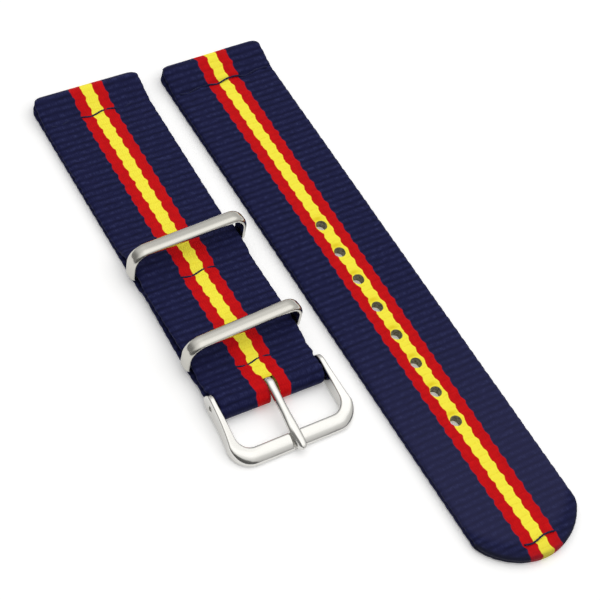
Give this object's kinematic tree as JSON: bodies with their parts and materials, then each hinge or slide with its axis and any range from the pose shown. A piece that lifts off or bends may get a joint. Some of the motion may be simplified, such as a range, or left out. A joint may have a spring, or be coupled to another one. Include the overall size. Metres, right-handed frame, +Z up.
{
  "type": "watch strap",
  "caption": "Two-piece woven nylon watch strap with a striped band, steel tang buckle and two steel keepers, laid out as a pair.",
  "frame": {"origin": "under the middle of the laid-out pair, on the surface that it lies on", "axes": "+Y along the buckle half's band towards its lug end, +X across the band towards the tail half, +Z up out of the band's face"},
  "size_m": [0.0526, 0.1214, 0.0081],
  "materials": {
    "webbing": "ribbed navy nylon with a red and yellow stripe down the middle",
    "thread": "dark sewing thread",
    "steel": "fine satin stainless steel",
    "bar_steel": "turned stainless steel"
  },
  "bodies": {
    "buckle_half": {"buckle_strap": "webbing", "buckle_lug_stitches": "thread", "upper_keeper_stitches": "thread", "lower_keeper_stitches": "thread", "spring_bar_tube": "bar_steel", "spring_bar_spring": "bar_steel"},
    "upper_keeper": {"upper_keeper": "steel"},
    "lower_keeper": {"lower_keeper": "steel"},
    "left_bar_tip": {"left_bar_tip": "bar_steel"},
    "right_bar_tip": {"right_bar_tip": "bar_steel"},
    "buckle_frame": {"buckle_frame": "steel"},
    "buckle_tang": {"buckle_tang": "steel"},
    "tail_half": {"tail_strap": "webbing", "tail_lug_stitches": "thread", "tail_tip_stitches": "thread"}
  },
  "joints": [
    {"name": "buckle_swing", "type": "hinge", "parent": "buckle_half", "child": "buckle_frame", "pos_m": [-0.01381, -0.01256, 0.0022], "axis": [-1, 0, 0], "range_deg": [-60, 30]},
    {"name": "tang_swing", "type": "hinge", "parent": "buckle_frame", "child": "buckle_tang", "pos_m": [-0.01381, -0.01256, 0.0022], "axis": [-1, 0, 0], "range_deg": [0, 70]},
    {"name": "upper_keeper_shift", "type": "slide", "parent": "buckle_half", "child": "upper_keeper", "axis": [0, 1, 0], "range_m": [-0.0008, 0.0008]},
    {"name": "lower_keeper_shift", "type": "slide", "parent": "buckle_half", "child": "lower_keeper", "axis": [0, 1, 0], "range_m": [-0.0008, 0.0008]},
    {"name": "left_tip_press", "type": "slide", "parent": "buckle_half", "child": "left_bar_tip", "axis": [1, 0, 0], "range_m": [0, 0.0011], "stiffness_N_per_m": 200, "springref_m": -0.0005, "deforming": ["spring_bar_spring"]},
    {"name": "right_tip_press", "type": "slide", "parent": "buckle_half", "child": "right_bar_tip", "axis": [-1, 0, 0], "range_m": [0, 0.0011], "stiffness_N_per_m": 200, "springref_m": -0.0005, "deforming": ["spring_bar_spring"]},
    {"name": "tail_lift", "type": "slide", "parent": "buckle_half", "child": "tail_half", "axis": [0, 0, 1], "range_m": [0, 0.02]}
  ]
}
